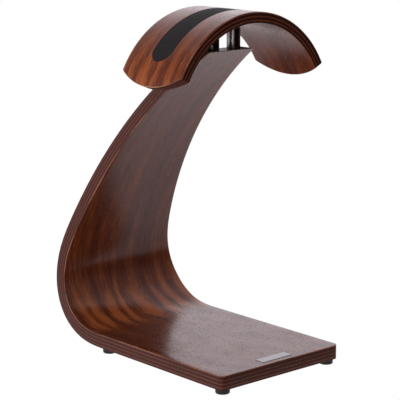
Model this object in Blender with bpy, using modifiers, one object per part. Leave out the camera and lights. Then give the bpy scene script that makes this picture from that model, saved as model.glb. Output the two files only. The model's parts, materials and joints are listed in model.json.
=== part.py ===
"""Headphone stand: a moulded plywood frame that carries a padded plywood saddle on two metal posts.

Metres, +Z up. The front faces -Y, where the badge is. The origin is on the surface that the stand
rests on, under the middle of its bounding box. Lengths below are in millimetres, turned into metres
by MM where a shape is made. Depths count back from the front edge of the base.
"""
import math

import bmesh
import bpy
import numpy as np
from mathutils import Matrix, Vector

MM = 0.001
GAP = 0.3
FILM_GAP = 0.1
CUTTER_OVERSHOOT = 2.0
WELD_DISTANCE = 0.00001

# frame: base, bend and neck in one moulding, described along its inner face
BASE_WIDTH = 120.0
BASE_RUN = 151.5
BEND_LENGTH = 80.5
BEND_TURN = math.radians(112.0)
NECK_LENGTH = 217.5
NECK_TURN = math.radians(34.5)
BEND_BLEND_IN = 38.5
BEND_BLEND_OUT = 51.0
FRAME_PLY = 11.0
NECK_TIP_PLY = 10.0
NECK_TOP_HEIGHT = 234.9
NECK_TIP_WIDTH = 44.5
BASE_CORNER_RADIUS = 4.5
TAPER_START = 105.0
TAPER_HANDLE_BASE = 147.0
TAPER_HANDLE_TIP = 325.0
TAPER_HANDLE_RISE = 37.6
TAPER_SAMPLES = 400
TIP_OVERRUN = 4.0
EDGE_SOFTENING = 0.8

# saddle: an arch about an axis that runs from front to back
SADDLE_RADIUS = 79.0
SADDLE_PLY = 8.2
SADDLE_AXIS_HEIGHT = 185.5
SADDLE_DEPTH = 65.8
SADDLE_CENTRE_DEPTH = 64.55
SADDLE_HALF_ARC = 95.8
WING_END_RADIUS = 60.0

# pad: a strip with round ends, let into a groove on top of the saddle
PAD_WIDTH = 21.0
PAD_HALF_ARC = 75.3
GROOVE_DEPTH = 2.0
PAD_PROUD = 0.1
ADHESIVE_FILM = 0.2

# posts, their screws and their studs
POST_DIAMETER = 10.4
POST_SPACING = 21.0
POST_DEPTH = 66.0
POST_CHAMFER = 0.4
THREAD_DIAMETER = 4.0
SADDLE_SEAT_RISE = 70.9
SCREW_HEAD_RISE = 75.4
SCREW_HEAD_DIAMETER = 7.5
SCREW_HEAD_RIM = 0.3
SCREW_REACH_IN_POST = 8.0
HEX_SOCKET_ACROSS = 2.5
HEX_SOCKET_DEPTH = 1.4
STUD_DEPTH_IN_NECK = 3.5
STUD_REACH_IN_POST = 8.0

# feet
FOOT_DIAMETER = 11.0
FOOT_HEIGHT = 4.0
FOOT_ROUNDING = 0.9
FOOT_DRAFT = 0.15
FOOT_OFFSET_X = 53.1
FOOT_DEPTHS = {"front": 6.7, "rear": 137.4}
FOOT_RECESS = 1.0

# badge
BADGE_WIDTH = 29.5
BADGE_DEPTH = 8.4
BADGE_THICKNESS = 0.5
BADGE_CENTRE_DEPTH = 9.0
BADGE_RECESS = 0.6
BADGE_CORNER = 0.6
BADGE_BEVEL = 0.15

SIDES = {"left": -1.0, "right": 1.0}

# fineness of the meshes; the frame's path is summed in steps of PATH_STEP
PATH_STEP = 0.25
LARGEST_FACET_TURN = math.radians(3.0)
LARGEST_FACET_RUN = 12.0
ARCH_FACETS = 36
WING_END_FACETS = 8
PAD_END_FACETS = 8
CORNER_FACETS = 8
QUARTER_FACETS = 4
TURN_FACETS = 24
SOFTENING_FACETS = 2
SHARP_EDGE = math.radians(50.0)

COLOURS = {
    "lacquered_veneer": ((0.17, 0.06, 0.032), 0.28, 0.0),
    "black_rubber": ((0.022, 0.022, 0.024), 0.75, 0.0),
    "black_nickel": ((0.16, 0.15, 0.145), 0.16, 1.0),
    "zinc_steel": ((0.55, 0.55, 0.56), 0.35, 1.0),
    "satin_aluminium": ((0.72, 0.72, 0.74), 0.3, 1.0),
    "adhesive": ((0.82, 0.8, 0.74), 0.6, 0.0),
}


def smooth_step(value):
    """0 below 0, 1 above 1, and an S-curve between them."""
    value = np.clip(value, 0.0, 1.0)
    return value * value * (3.0 - 2.0 * value)


def frame_path():
    """Follow the frame's inner face from the front edge of the base to just past the neck's tip.

    Returns the run along the face, its depth and height above the base's underside, and its heading.
    """
    length = BASE_RUN + BEND_LENGTH + NECK_LENGTH
    run = np.arange(0.0, length + TIP_OVERRUN, PATH_STEP)
    bend = BEND_TURN / BEND_LENGTH
    neck = NECK_TURN / NECK_LENGTH
    into_bend = smooth_step((run - BASE_RUN) / BEND_BLEND_IN + 0.5)
    into_neck = smooth_step((run - BASE_RUN - BEND_LENGTH) / BEND_BLEND_OUT + 0.5)
    curvature = bend * into_bend + (neck - bend) * into_neck
    turns = (curvature[1:] + curvature[:-1]) / 2.0 * PATH_STEP
    heading = np.concatenate(([0.0], np.cumsum(turns)))
    middle = (heading[1:] + heading[:-1]) / 2.0
    depth = np.concatenate(([0.0], np.cumsum(np.cos(middle) * PATH_STEP)))
    height = FRAME_PLY + np.concatenate(([0.0], np.cumsum(np.sin(middle) * PATH_STEP)))
    return run, depth, height, heading


def frame_ply(run):
    """Thickness of the frame: full in the base, then thinning evenly to the tip."""
    length = BASE_RUN + BEND_LENGTH + NECK_LENGTH
    along = np.clip((run - BASE_RUN) / (length - BASE_RUN), 0.0, 1.0)
    return FRAME_PLY + (NECK_TIP_PLY - FRAME_PLY) * along


def frame_half_width(run):
    """Half width of the frame: parallel edges, then a cubic taper."""
    length = BASE_RUN + BEND_LENGTH + NECK_LENGTH
    half = BASE_WIDTH / 2.0
    tip = NECK_TIP_WIDTH / 2.0
    u = np.linspace(0.0, 1.0, TAPER_SAMPLES)
    weights = ((1 - u) ** 3, 3 * u * (1 - u) ** 2, 3 * u * u * (1 - u), u ** 3)
    runs = (TAPER_START, TAPER_START + TAPER_HANDLE_BASE, length - TAPER_HANDLE_TIP, length)
    halves = (half, half, tip + TAPER_HANDLE_RISE, tip)
    curve_run = sum(w * r for w, r in zip(weights, runs))
    curve_half = sum(w * h for w, h in zip(weights, halves))
    width = np.interp(run, curve_run, curve_half)
    past_tip = np.maximum(run - length, 0.0)
    return width - past_tip * TAPER_HANDLE_RISE / TAPER_HANDLE_TIP


def overall_depth():
    """Depth of the whole stand: the furthest that the outside of the bend reaches back."""
    run, depth, _, heading = frame_path()
    return float(np.max(depth + frame_ply(run) * np.sin(heading)))


MIDDLE_DEPTH = overall_depth() / 2.0


def place(x, depth, height):
    """A point given across, back from the front edge and above the base's underside, in metres."""
    return Vector((x, depth - MIDDLE_DEPTH, height + FOOT_HEIGHT)) * MM


def make_collection(name):
    collection = bpy.data.collections.new(name)
    bpy.context.scene.collection.children.link(collection)
    return collection


def make_material(name):
    colour, roughness, metallic = COLOURS[name]
    material = bpy.data.materials.new(name)
    material.use_nodes = True
    shader = material.node_tree.nodes["Principled BSDF"]
    shader.inputs["Base Color"].default_value = (*colour, 1.0)
    shader.inputs["Roughness"].default_value = roughness
    shader.inputs["Metallic"].default_value = metallic
    material.diffuse_color = (*colour, 1.0)
    return material


def make_object(name, mesh, collection, material=None):
    piece = bpy.data.objects.new(name, mesh)
    collection.objects.link(piece)
    if material is not None:
        mesh.materials.append(material)
    return piece


def make_cutter(name, mesh):
    cutter = make_object(name, mesh, CUTTERS)
    cutter.hide_render = True
    cutter.display_type = "WIRE"
    return cutter


def cut(piece, cutter):
    modifier = piece.modifiers.new("cut_" + cutter.name, "BOOLEAN")
    modifier.operation = "DIFFERENCE"
    modifier.solver = "EXACT"
    modifier.object = cutter


def solidify(piece, thickness, offset, vertex_group=""):
    modifier = piece.modifiers.new("thickness", "SOLIDIFY")
    modifier.thickness = thickness * MM
    modifier.offset = offset
    modifier.vertex_group = vertex_group


def round_corner(piece, vertex_group, radius):
    """Round the one edge whose two ends are in the vertex group."""
    modifier = piece.modifiers.new("round_" + vertex_group, "BEVEL")
    modifier.width = radius * MM
    modifier.segments = CORNER_FACETS
    modifier.limit_method = "VGROUP"
    modifier.vertex_group = vertex_group


def soften_edges(piece, width, segments=SOFTENING_FACETS):
    modifier = piece.modifiers.new("soft_edges", "BEVEL")
    modifier.width = width * MM
    modifier.segments = segments
    modifier.limit_method = "ANGLE"
    modifier.angle_limit = SHARP_EDGE


def strip_mesh(name, rows):
    """An open surface with one row of points after another, all rows the same length."""
    mesh = bpy.data.meshes.new(name)
    surface = bmesh.new()
    grid = [[surface.verts.new(point) for point in row] for row in rows]
    for row, following in zip(grid[:-1], grid[1:]):
        for a, b, c, d in zip(row[:-1], row[1:], following[1:], following[:-1]):
            surface.faces.new((a, b, c, d))
    surface.to_mesh(mesh)
    surface.free()
    mesh.shade_smooth()
    return mesh


def cylinder_mesh(name, radius, low, high, segments=TURN_FACETS):
    """An upright cylinder about the local Z axis, with its ends at two heights."""
    mesh = bpy.data.meshes.new(name)
    solid = bmesh.new()
    bmesh.ops.create_cone(
        solid, cap_ends=True, segments=segments,
        radius1=radius * MM, radius2=radius * MM, depth=(high - low) * MM,
        matrix=Matrix.Translation((0.0, 0.0, (high + low) / 2.0 * MM)),
    )
    solid.to_mesh(mesh)
    solid.free()
    return mesh


def box_mesh(name, size, low, high):
    """A box centred on the local Z axis, with its ends at two heights."""
    mesh = bpy.data.meshes.new(name)
    solid = bmesh.new()
    scale = Matrix.Diagonal((size[0] * MM, size[1] * MM, (high - low) * MM, 1.0))
    shift = Matrix.Translation((0.0, 0.0, (high + low) / 2.0 * MM))
    bmesh.ops.create_cube(solid, size=1.0, matrix=shift @ scale)
    solid.to_mesh(mesh)
    solid.free()
    return mesh


def turned_mesh(name, profile):
    """The outline of a turned piece, from the top of its axis down its outer side."""
    mesh = bpy.data.meshes.new(name)
    points = [(x * MM, 0.0, z * MM) for x, z in profile]
    edges = [(i, i + 1) for i in range(len(profile) - 1)]
    mesh.from_pydata(points, edges, [])
    return mesh


def turn(piece, steps=TURN_FACETS):
    modifier = piece.modifiers.new("turn", "SCREW")
    modifier.axis = "Z"
    modifier.steps = steps
    modifier.render_steps = steps
    modifier.use_merge_vertices = True
    modifier.merge_threshold = WELD_DISTANCE
    modifier.use_smooth_shade = True


def quarter_round(centre_x, centre_z, radius, start, end, steps=QUARTER_FACETS):
    """Points on an arc in the turning plane, for angles in degrees from +X."""
    angles = [math.radians(start + (end - start) * i / steps) for i in range(steps + 1)]
    return [(centre_x + radius * math.cos(a), centre_z + radius * math.sin(a)) for a in angles]


def plate_mesh(name, width, depth, corner, low, high):
    """A flat plate with round corners, from a filled outline curve."""
    outline = bpy.data.curves.new(name, "CURVE")
    outline.dimensions = "2D"
    outline.fill_mode = "BOTH"
    outline.extrude = (high - low) / 2.0 * MM
    spline = outline.splines.new("POLY")
    points = []
    for index, (sx, sy) in enumerate(((1, 1), (-1, 1), (-1, -1), (1, -1))):
        centre = (sx * (width / 2.0 - corner), sy * (depth / 2.0 - corner))
        points += quarter_round(centre[0], centre[1], corner, index * 90.0, index * 90.0 + 90.0)
    spline.points.add(len(points) - 1)
    for point, (x, y) in zip(spline.points, points):
        point.co = (x * MM, y * MM, 0.0, 1.0)
    spline.use_cyclic_u = True
    holder = bpy.data.objects.new(name + "_outline", outline)
    bpy.context.scene.collection.objects.link(holder)
    bpy.context.view_layer.update()
    evaluated = holder.evaluated_get(bpy.context.evaluated_depsgraph_get())
    mesh = bpy.data.meshes.new_from_object(evaluated)
    bpy.data.objects.remove(holder)
    solid = bmesh.new()
    solid.from_mesh(mesh)
    bmesh.ops.remove_doubles(solid, verts=solid.verts, dist=WELD_DISTANCE)
    bmesh.ops.translate(solid, verts=solid.verts, vec=(0.0, 0.0, (high + low) / 2.0 * MM))
    solid.to_mesh(mesh)
    solid.free()
    mesh.name = name
    return mesh


def even_steps(half_depth, count):
    """Places from -half_depth to half_depth, evenly spaced."""
    return [half_depth * (2.0 * i / count - 1.0) for i in range(count + 1)]


def round_steps(half_depth, count):
    """Places from -half_depth to half_depth, closer towards both ends, as round ends need."""
    return [-half_depth * math.cos(math.pi * i / count) for i in range(count + 1)]


def arch_mesh(name, radius, places_across, half_arc_at):
    """A strip bent about the saddle's axis; half_arc_at gives its half length at each place across."""
    rows = []
    for across in places_across:
        reach = half_arc_at(across) / SADDLE_RADIUS
        row = []
        for j in range(ARCH_FACETS + 1):
            angle = reach * (2.0 * j / ARCH_FACETS - 1.0)
            row.append(place(radius * math.sin(angle), SADDLE_CENTRE_DEPTH + across,
                             SADDLE_AXIS_HEIGHT + radius * math.cos(angle)))
        rows.append(row)
    return strip_mesh(name, rows)


def wing_reach(across):
    """Half length of the saddle: each wing ends in an arc of WING_END_RADIUS."""
    return SADDLE_HALF_ARC - WING_END_RADIUS + math.sqrt(WING_END_RADIUS ** 2 - across ** 2)


def pad_mesh(name, radius, extra):
    """The pad's outline bent about the saddle's axis, with extra added all round for its groove."""
    half_width = PAD_WIDTH / 2.0 + extra

    def reach(across):
        return PAD_HALF_ARC + extra - half_width + math.sqrt(max(half_width ** 2 - across ** 2, 0.0))

    return arch_mesh(name, radius, round_steps(half_width, PAD_END_FACETS), reach)


def frame_stations():
    """Indices into the frame's path where its mesh has a row of points."""
    run, _, _, heading = frame_path()
    stations = [0]
    for index in range(1, len(run)):
        turned = heading[index] - heading[stations[-1]] >= LARGEST_FACET_TURN
        travelled = run[index] - run[stations[-1]] >= LARGEST_FACET_RUN
        if turned or travelled:
            stations.append(index)
    if stations[-1] != len(run) - 1:
        stations.append(len(run) - 1)
    return stations


def make_frame(material):
    run, depth, height, _ = frame_path()
    half = frame_half_width(run)
    ply = frame_ply(run)
    stations = frame_stations()
    rows = [[place(-half[i], depth[i], height[i]), place(half[i], depth[i], height[i])] for i in stations]
    frame = make_object("frame", strip_mesh("frame", rows), PARTS, material)
    weights = frame.vertex_groups.new(name="ply")
    for order, i in enumerate(stations):
        weights.add([2 * order, 2 * order + 1], float(ply[i] / FRAME_PLY), "REPLACE")
    solidify(frame, FRAME_PLY, -1.0, "ply")
    for index, side in enumerate(SIDES):
        corner = frame.vertex_groups.new(name="corner_" + side)
        corner.add([index], 1.0, "REPLACE")
        round_corner(frame, corner.name, BASE_CORNER_RADIUS)
    soften_edges(frame, EDGE_SOFTENING)
    top = box_mesh("neck_top_cut", (BASE_WIDTH, BASE_WIDTH), NECK_TOP_HEIGHT, NECK_TOP_HEIGHT + BASE_WIDTH)
    top_cutter = make_cutter("neck_top_cut", top)
    top_cutter.location = place(0.0, POST_DEPTH, 0.0)
    cut(frame, top_cutter)
    cut_stud_holes(frame)
    cut_foot_recesses(frame)
    badge = plate_mesh("badge_recess", BADGE_WIDTH + 2.0 * GAP, BADGE_DEPTH + 2.0 * GAP, BADGE_CORNER,
                       FRAME_PLY - BADGE_RECESS, FRAME_PLY + BADGE_RECESS)
    badge_cutter = make_cutter("badge_recess", badge)
    badge_cutter.location = place(0.0, BADGE_CENTRE_DEPTH, 0.0)
    cut(frame, badge_cutter)


def cut_stud_holes(frame):
    radius = THREAD_DIAMETER / 2.0 + GAP
    low = NECK_TOP_HEIGHT - STUD_DEPTH_IN_NECK - GAP
    for side, sign in SIDES.items():
        mesh = cylinder_mesh("stud_hole", radius, low, NECK_TOP_HEIGHT + CUTTER_OVERSHOOT)
        hole = make_cutter("stud_hole_" + side, mesh)
        hole.location = place(sign * POST_SPACING / 2.0, POST_DEPTH, 0.0)
        cut(frame, hole)


def cut_foot_recesses(frame):
    for end, depth in FOOT_DEPTHS.items():
        for side, sign in SIDES.items():
            mesh = cylinder_mesh("foot_recess", FOOT_DIAMETER / 2.0 + GAP, -FOOT_RECESS, FOOT_RECESS)
            recess = make_cutter("foot_recess_" + end + "_" + side, mesh)
            recess.location = place(sign * FOOT_OFFSET_X, depth, 0.0)
            cut(frame, recess)


def make_saddle(material):
    places = even_steps(SADDLE_DEPTH / 2.0, WING_END_FACETS)
    saddle = make_object("saddle", arch_mesh("saddle", SADDLE_RADIUS, places, wing_reach), PARTS, material)
    solidify(saddle, SADDLE_PLY, -1.0)
    soften_edges(saddle, EDGE_SOFTENING)
    groove = pad_mesh("pad_groove", SADDLE_RADIUS - GROOVE_DEPTH, GAP)
    groove_cutter = make_cutter("pad_groove", groove)
    solidify(groove_cutter, 2.0 * GROOVE_DEPTH, 1.0)
    cut(saddle, groove_cutter)
    cut_post_seats(saddle)
    cut_screw_holes(saddle)


def cut_post_seats(saddle):
    """Flat seats for the posts, sunk into the hollow side of the arch."""
    seat = SADDLE_AXIS_HEIGHT + SADDLE_SEAT_RISE
    for side, sign in SIDES.items():
        mesh = cylinder_mesh("post_seat", POST_DIAMETER / 2.0 + GAP, seat - SADDLE_PLY, seat)
        cutter = make_cutter("post_seat_" + side, mesh)
        cutter.location = place(sign * POST_SPACING / 2.0, POST_DEPTH, 0.0)
        cut(saddle, cutter)


def screw_profile(spare):
    """A countersunk screw's outline about its axis, larger all round by spare for its hole."""
    head_top = SADDLE_AXIS_HEIGHT + SCREW_HEAD_RISE
    head = SCREW_HEAD_DIAMETER / 2.0 + spare
    shank = THREAD_DIAMETER / 2.0 + spare
    cone_top = head_top - SCREW_HEAD_RIM
    cone_bottom = cone_top - (head - shank)
    end = SADDLE_AXIS_HEIGHT + SADDLE_SEAT_RISE - SCREW_REACH_IN_POST - spare
    top = head_top if spare == 0.0 else head_top + GROOVE_DEPTH
    return [(0.0, top), (head, top), (head, cone_top), (shank, cone_bottom), (shank, end), (0.0, end)]


def cut_screw_holes(saddle):
    for side, sign in SIDES.items():
        cutter = make_cutter("screw_hole_" + side, turned_mesh("screw_hole", screw_profile(GAP)))
        turn(cutter)
        cutter.location = place(sign * POST_SPACING / 2.0, POST_DEPTH, 0.0)
        cut(saddle, cutter)


def make_pad(pad_material, film_material):
    pad_bottom = SADDLE_RADIUS - GROOVE_DEPTH + 2.0 * FILM_GAP + ADHESIVE_FILM
    thickness = SADDLE_RADIUS + PAD_PROUD - pad_bottom
    pad = make_object("saddle_pad", pad_mesh("saddle_pad", pad_bottom, 0.0), PARTS, pad_material)
    solidify(pad, thickness, 1.0)
    film_bottom = SADDLE_RADIUS - GROOVE_DEPTH + FILM_GAP
    film = make_object("pad_adhesive", pad_mesh("pad_adhesive", film_bottom, -GAP), PARTS, film_material)
    solidify(film, ADHESIVE_FILM, 1.0)


def post_profile():
    """A post with a chamfer at each end and a threaded bore in each end, as a closed turned outline."""
    radius = POST_DIAMETER / 2.0
    bore = THREAD_DIAMETER / 2.0 + GAP
    low = NECK_TOP_HEIGHT + FILM_GAP
    high = SADDLE_AXIS_HEIGHT + SADDLE_SEAT_RISE - FILM_GAP
    top_bore_end = high - SCREW_REACH_IN_POST - 2.0 * GAP
    low_bore_end = low + STUD_REACH_IN_POST + 2.0 * GAP
    return [
        (0.0, top_bore_end), (bore, top_bore_end), (bore, high),
        (radius - POST_CHAMFER, high), (radius, high - POST_CHAMFER),
        (radius, low + POST_CHAMFER), (radius - POST_CHAMFER, low),
        (bore, low), (bore, low_bore_end), (0.0, low_bore_end),
    ]


def stud_profile():
    radius = THREAD_DIAMETER / 2.0
    low = NECK_TOP_HEIGHT - STUD_DEPTH_IN_NECK
    high = NECK_TOP_HEIGHT + STUD_REACH_IN_POST
    return [(0.0, high), (radius - POST_CHAMFER, high), (radius, high - POST_CHAMFER),
            (radius, low + POST_CHAMFER), (radius - POST_CHAMFER, low), (0.0, low)]


def make_posts(post_material, steel):
    head_top = SADDLE_AXIS_HEIGHT + SCREW_HEAD_RISE
    socket_radius = HEX_SOCKET_ACROSS / math.sqrt(3.0)
    for side, sign in SIDES.items():
        foot_of_axis = place(sign * POST_SPACING / 2.0, POST_DEPTH, 0.0)
        post_mesh = turned_mesh("post", post_profile())
        post = make_object("post_" + side, post_mesh, PARTS, post_material)
        screw_mesh = turned_mesh("saddle_screw", screw_profile(0.0))
        screw = make_object("saddle_screw_" + side, screw_mesh, PARTS, steel)
        stud_mesh = turned_mesh("post_stud", stud_profile())
        stud = make_object("post_stud_" + side, stud_mesh, PARTS, steel)
        for piece in (post, screw, stud):
            turn(piece)
            piece.location = foot_of_axis
        socket_floor = head_top - HEX_SOCKET_DEPTH
        socket = cylinder_mesh("hex_socket", socket_radius, socket_floor, head_top + CUTTER_OVERSHOOT, 6)
        socket_cutter = make_cutter("hex_socket_" + side, socket)
        socket_cutter.location = foot_of_axis
        cut(screw, socket_cutter)


def foot_profile():
    top = FOOT_RECESS - ADHESIVE_FILM - 2.0 * FILM_GAP
    radius = FOOT_DIAMETER / 2.0
    low_radius = radius - FOOT_DRAFT
    rounding_centre = (low_radius - FOOT_ROUNDING, FOOT_ROUNDING - FOOT_HEIGHT)
    rounding = quarter_round(*rounding_centre, FOOT_ROUNDING, 0.0, -90.0)
    return [(0.0, top), (radius, top), (radius, 0.0)] + rounding + [(0.0, -FOOT_HEIGHT)]


def make_feet(rubber, film_material):
    film_low = FOOT_RECESS - ADHESIVE_FILM - FILM_GAP
    film_radius = FOOT_DIAMETER / 2.0 - GAP
    for end, depth in FOOT_DEPTHS.items():
        for side, sign in SIDES.items():
            name = end + "_" + side
            foot = make_object("foot_" + name, turned_mesh("foot", foot_profile()), PARTS, rubber)
            turn(foot)
            mesh = cylinder_mesh("foot_adhesive", film_radius, film_low, film_low + ADHESIVE_FILM)
            film = make_object("foot_adhesive_" + name, mesh, PARTS, film_material)
            for piece in (foot, film):
                piece.location = place(sign * FOOT_OFFSET_X, depth, 0.0)


def make_badge(metal, film_material):
    floor = FRAME_PLY - BADGE_RECESS
    film_low = floor + FILM_GAP
    low = film_low + ADHESIVE_FILM + FILM_GAP
    plate = plate_mesh("badge", BADGE_WIDTH, BADGE_DEPTH, BADGE_CORNER, low, low + BADGE_THICKNESS)
    badge = make_object("badge", plate, PARTS, metal)
    film_mesh = plate_mesh("badge_adhesive", BADGE_WIDTH - 2.0 * GAP, BADGE_DEPTH - 2.0 * GAP, BADGE_CORNER,
                           film_low, film_low + ADHESIVE_FILM)
    film = make_object("badge_adhesive", film_mesh, PARTS, film_material)
    for piece in (badge, film):
        piece.location = place(0.0, BADGE_CENTRE_DEPTH, 0.0)
    soften_edges(badge, BADGE_BEVEL, 1)


def main():
    make_frame(make_material("lacquered_veneer"))
    make_saddle(bpy.data.materials["lacquered_veneer"])
    film = make_material("adhesive")
    rubber = make_material("black_rubber")
    make_pad(rubber, film)
    make_posts(make_material("black_nickel"), make_material("zinc_steel"))
    make_feet(rubber, film)
    make_badge(make_material("satin_aluminium"), film)


for leftover in list(bpy.data.objects):
    bpy.data.objects.remove(leftover)
PARTS = make_collection("headphone_stand")
CUTTERS = make_collection("cutters")
main()
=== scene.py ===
"""Looks of the headphone stand: moulded plywood frame and saddle, rubber pad, metal posts, feet and badge.

Metres, +Z up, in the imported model's frame. The front, with the badge, faces -Y. Lengths named below are in
millimetres, turned into metres by MM where a shape is made. Depths count back from the base's front edge
and heights up from its underside.
"""
import json
import math

import bmesh
import bpy
import numpy as np
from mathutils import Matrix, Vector


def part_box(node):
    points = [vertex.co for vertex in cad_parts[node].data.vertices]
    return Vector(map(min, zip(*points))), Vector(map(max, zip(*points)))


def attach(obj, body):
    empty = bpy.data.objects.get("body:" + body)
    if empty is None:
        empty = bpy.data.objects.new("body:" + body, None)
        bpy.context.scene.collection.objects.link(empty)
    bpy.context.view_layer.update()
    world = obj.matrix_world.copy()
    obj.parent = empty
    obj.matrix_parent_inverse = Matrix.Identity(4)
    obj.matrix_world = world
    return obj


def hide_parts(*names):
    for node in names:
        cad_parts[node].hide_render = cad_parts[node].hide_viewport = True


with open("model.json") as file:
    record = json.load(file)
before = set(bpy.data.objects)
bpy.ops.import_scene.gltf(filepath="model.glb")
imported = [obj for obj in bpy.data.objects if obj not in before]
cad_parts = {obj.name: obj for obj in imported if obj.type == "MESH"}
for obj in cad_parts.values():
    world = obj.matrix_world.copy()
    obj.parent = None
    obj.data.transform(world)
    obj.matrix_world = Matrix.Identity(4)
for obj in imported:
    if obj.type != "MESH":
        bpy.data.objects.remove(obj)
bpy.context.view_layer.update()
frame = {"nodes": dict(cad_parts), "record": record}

MM = 0.001

# the frame's inner face: a straight base, a bend, and a neck that goes on curving to its tip
BASE_RUN = 151.5
BEND_LENGTH = 80.5
BEND_TURN = math.radians(112.0)
NECK_LENGTH = 217.5
NECK_TURN = math.radians(34.5)
BEND_BLEND_IN = 38.5
BEND_BLEND_OUT = 51.0
FRAME_PLY = 11.0
NECK_TIP_PLY = 9.95
NECK_TIP_WIDTH = 44.5
BASE_CORNER_RADIUS = 4.5
TIP_CORNER_RADIUS = 1.2
TAPER_START = 105.0
TAPER_HANDLE_BASE = 147.0
TAPER_HANDLE_TIP = 325.0
TAPER_HANDLE_RISE = 37.6
TAPER_SAMPLES = 400
TIP_OVERRUN = 4.0
PATH_STEP = 0.25
FRAME_LENGTH = BASE_RUN + BEND_LENGTH + NECK_LENGTH

# where things are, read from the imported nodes
FRAME_LOW, FRAME_HIGH = (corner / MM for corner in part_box("frame"))
SADDLE_LOW, SADDLE_HIGH = (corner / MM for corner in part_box("saddle"))
PAD_LOW, PAD_HIGH = (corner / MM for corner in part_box("saddle_pad"))
BADGE_LOW, BADGE_HIGH = (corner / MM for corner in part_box("badge"))
BASE_WIDTH = FRAME_HIGH.x - FRAME_LOW.x
FRONT_Y = FRAME_LOW.y
UNDERSIDE_Z = FRAME_LOW.z
NECK_TOP_Z = FRAME_HIGH.z

ENDS = ("front", "rear")
SIDES = ("left", "right")

# saddle: an arch about an axis that runs from front to back
SADDLE_RADIUS = 79.0
SADDLE_PLY = 8.2
SADDLE_AXIS_Z = SADDLE_HIGH.z - SADDLE_RADIUS
SADDLE_CENTRE_Y = (SADDLE_LOW.y + SADDLE_HIGH.y) / 2.0
SADDLE_DEPTH = SADDLE_HIGH.y - SADDLE_LOW.y
SADDLE_HALF_ARC = 95.55
WING_END_RADIUS = 60.0
WING_CORNER_RADIUS = 1.0

# pad, flush with the saddle, and its groove
PAD_WIDTH = PAD_HIGH.y - PAD_LOW.y
PAD_HALF_ARC = 75.3
PAD_THICKNESS = 1.5
PAD_ROUNDING = 0.45
GROOVE_DEPTH = 2.0
GAP = 0.3
CUTTER_OVERSHOOT = 2.0
CUTTER_SHORT_OVERSHOOT = 1.0

# posts, their seats and their holes; rises count from the saddle's axis
POST_DIAMETER = 10.4
POST_ROUNDING = 0.35
POST_BORE_DEPTH = 8.6
THREAD_DIAMETER = 4.0
STUD_DEPTH_IN_NECK = 3.5
SADDLE_SEAT_RISE = 70.9
SCREW_HEAD_DIAMETER = 7.5
SCREW_HEAD_RISE = 75.4

# feet: a round lower edge, and a shallow dimple underneath
FOOT_DIAMETER = 11.0
FOOT_RECESS = 1.0
FOOT_ROUNDING = 0.9
FOOT_DRAFT = 0.15
FOOT_TOP_ROUNDING = 0.3
DIMPLE_SHARES = (0.55, 0.45)
DIMPLE_DEPTHS = (0.25, 0.35)

# badge
BADGE_RECESS = 0.6
BADGE_CORNER = 0.6
BADGE_ROUNDING = 0.18

# plywood make-up. Layers count from 0 at the inner or upper face. A mesh face is veneer, and not edge, if its
# corners' layers agree within LEVEL_WITHIN and are within SKIN_WITHIN of the first or the last
VENEER = 0.6
EDGE_ROUNDING = 0.4
SADDLE_EDGE_ROUNDING = 0.8
FRAME_LAYERS = 9
SADDLE_LAYERS = 7
OUTERMOST = 0.02
LEVEL_WITHIN = 0.1
SKIN_WITHIN = 0.2

# fineness of the meshes
GRAIN_BATCH = 4096
FRAME_STEPS_ALONG = 300
FRAME_STEPS_ACROSS = 22
FRAME_STEPS_DOWN = 12
BASE_CORNER_STEPS = 12
TIP_CORNER_STEPS = 4
SADDLE_STEPS_ALONG = 200
SADDLE_STEPS_ACROSS = 40
SADDLE_STEPS_DOWN = 9
OUTLINE_POINTS = 81
PAD_STEPS_ALONG = 160
PAD_STEPS_ACROSS = 24
BADGE_STEPS_ALONG = 40
BADGE_STEPS_ACROSS = 10
SHARP_ANGLE = 32.0


def smooth_step(value):
    """0 below 0, 1 above 1, and an S-curve between them."""
    value = np.clip(value, 0.0, 1.0)
    return value * value * (3.0 - 2.0 * value)


# ---------------------------------------------------------------- the frame's and the saddle's curves

def frame_path():
    """Run along the frame's inner face, with its depth, its height and its heading at each step."""
    run = np.arange(0.0, FRAME_LENGTH + TIP_OVERRUN, PATH_STEP)
    bend = BEND_TURN / BEND_LENGTH
    neck = NECK_TURN / NECK_LENGTH
    into_bend = smooth_step((run - BASE_RUN) / BEND_BLEND_IN + 0.5)
    into_neck = smooth_step((run - BASE_RUN - BEND_LENGTH) / BEND_BLEND_OUT + 0.5)
    curvature = bend * into_bend + (neck - bend) * into_neck
    turns = (curvature[1:] + curvature[:-1]) / 2.0 * PATH_STEP
    heading = np.concatenate(([0.0], np.cumsum(turns)))
    middle = (heading[1:] + heading[:-1]) / 2.0
    depth = np.concatenate(([0.0], np.cumsum(np.cos(middle) * PATH_STEP)))
    height = FRAME_PLY + np.concatenate(([0.0], np.cumsum(np.sin(middle) * PATH_STEP)))
    return run, depth, height, heading


RUN, RUN_DEPTH, RUN_HEIGHT, RUN_HEADING = frame_path()


def frame_ply(run):
    """Thickness of the frame: full in the base, then thinning evenly to the tip."""
    along = np.clip((run - BASE_RUN) / (FRAME_LENGTH - BASE_RUN), 0.0, 1.0)
    return FRAME_PLY + (NECK_TIP_PLY - FRAME_PLY) * along


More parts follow.
